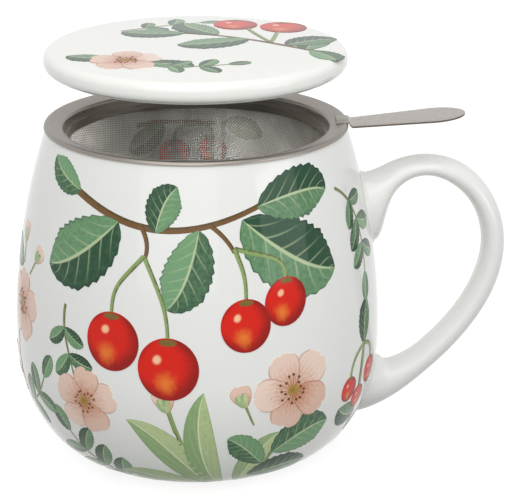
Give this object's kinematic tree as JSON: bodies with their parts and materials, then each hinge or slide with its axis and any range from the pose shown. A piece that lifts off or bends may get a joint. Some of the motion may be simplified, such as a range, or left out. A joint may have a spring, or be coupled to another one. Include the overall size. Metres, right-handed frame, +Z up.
{
  "type": "tea mug with infuser and lid",
  "caption": "Round-bellied porcelain tea mug with an ear handle, a drop-in steel mesh infuser with a strip handle, and a flat lid held raised above it.",
  "frame": {"origin": "on the mug's axis, on the plane that its foot ring stands on", "axes": "+Z up along the mug's axis, +X towards the mug's handle and the infuser's strip handle, +Y to the back"},
  "size_m": [0.1327, 0.0986, 0.1125],
  "materials": {
    "porcelain": "glossy clear glaze on white porcelain",
    "stamped_steel": "fine satin brushing",
    "woven_steel": "woven wire cloth"
  },
  "bodies": {
    "mug": {"mug_body": "porcelain", "mug_handle": "porcelain"},
    "infuser": {"infuser_rim": "stamped_steel", "infuser_clamp_ring": "stamped_steel", "infuser_mesh": "woven_steel", "infuser_handle": "stamped_steel"},
    "lid": {"lid": "porcelain"}
  },
  "joints": [
    {"name": "infuser_lift", "type": "slide", "parent": "mug", "child": "infuser", "axis": [0, 0, 1], "range_m": [0, 0.08]},
    {"name": "lid_lift", "type": "slide", "parent": "infuser", "child": "lid", "axis": [0, 0, 1], "range_m": [-0.0139, 0.05]}
  ]
}
